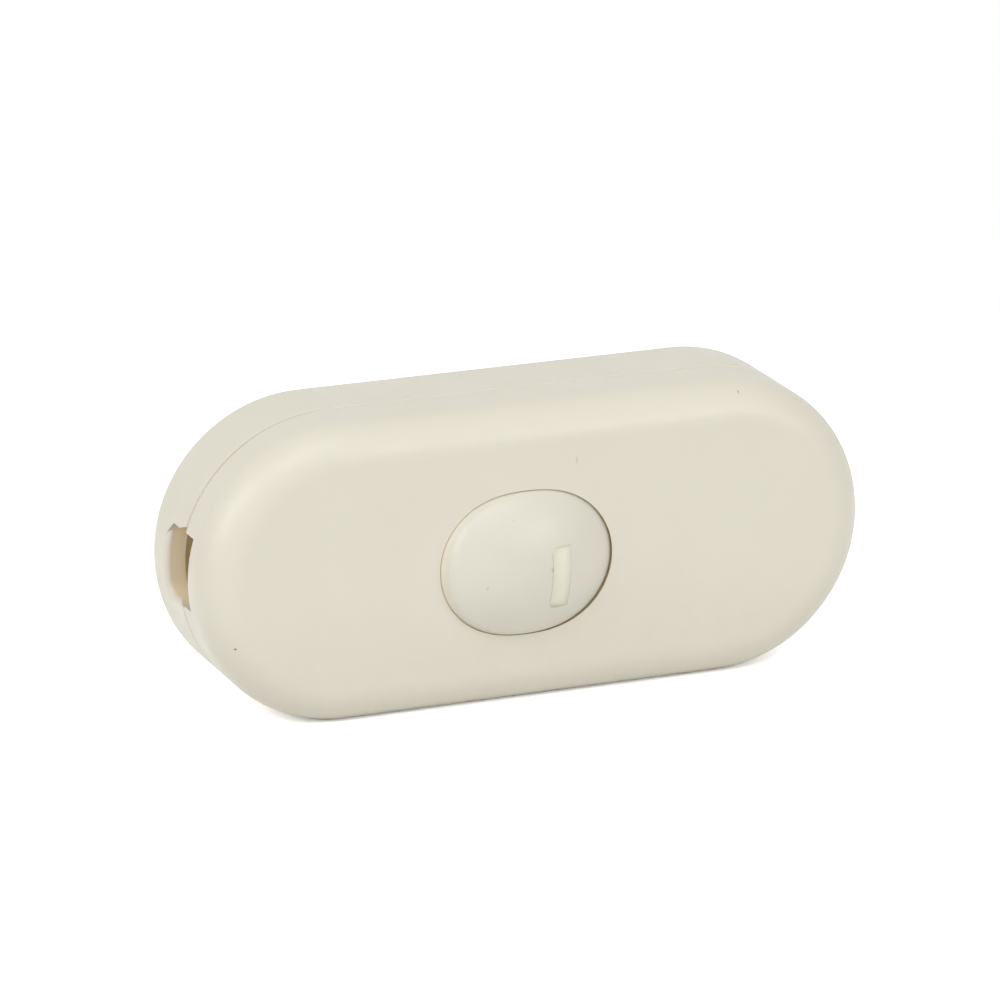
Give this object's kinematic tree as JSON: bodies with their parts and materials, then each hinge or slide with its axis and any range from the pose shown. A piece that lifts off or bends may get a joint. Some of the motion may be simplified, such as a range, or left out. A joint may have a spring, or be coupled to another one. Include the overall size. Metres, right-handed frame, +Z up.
{
  "type": "inline cord switch",
  "caption": "Pill-shaped inline switch for a flexible cord: two moulded shells, a domed oval rocker on one face and a cord slot at each end.",
  "frame": {"origin": "middle of the long flat side that the switch stands on, at half the housing's depth", "axes": "+X along the housing, -Y out of the face with the rocker, +Z up from the flat side"},
  "size_m": [0.0602, 0.017, 0.026],
  "materials": {
    "ivory_shell": "satin moulded ivory plastic",
    "ivory_rocker": "smooth moulded ivory plastic",
    "plunger_plastic": "plain moulded plastic",
    "spring_steel": "drawn spring wire",
    "contact_brass": "stamped brass strip",
    "contact_silver": "silver contact face",
    "zinc_steel": "zinc-plated steel",
    "brown_fibre": "pressed brown fibre"
  },
  "bodies": {
    "housing": {"front_cover": "ivory_shell", "rear_shell": "ivory_shell", "fixed_contact": "contact_silver", "line_terminal": "contact_brass", "load_terminal": "contact_brass", "neutral_link": "contact_brass", "line_wire_clamp": "zinc_steel", "load_wire_clamp": "zinc_steel", "left_neutral_wire_clamp": "zinc_steel", "right_neutral_wire_clamp": "zinc_steel", "left_cord_clamp": "brown_fibre", "right_cord_clamp": "brown_fibre", "terminal_screws": "zinc_steel", "cord_clamp_screws": "zinc_steel", "housing_screws": "zinc_steel"},
    "rocker": {"rocker_button": "ivory_rocker", "plunger_spring": "spring_steel"},
    "plunger": {"rocker_plunger": "plunger_plastic"},
    "see_saw": {"contact_blade": "contact_brass", "moving_contact": "contact_silver"}
  },
  "joints": [
    {"name": "rocker_tilt", "type": "hinge", "parent": "housing", "child": "rocker", "pos_m": [-0.0015, -0.0042, 0.0126], "axis": [0, 0, 1], "range_deg": [-12, 0]},
    {"name": "plunger_slide", "type": "slide", "parent": "rocker", "child": "plunger", "axis": [0.1045, -0.9945, 0], "range_m": [0, 0.0006], "stiffness_N_per_m": 800, "springref_m": -0.001, "deforming": ["plunger_spring"]},
    {"name": "see_saw_tilt", "type": "hinge", "parent": "housing", "child": "see_saw", "pos_m": [-0.0015, 0.00245, 0.0126], "axis": [0, 0, 1], "range_deg": [0, 16]}
  ],
  "couplings": [
    {"joint": "see_saw_tilt", "follows": "rocker_tilt", "ratio": -1.3333}
  ]
}
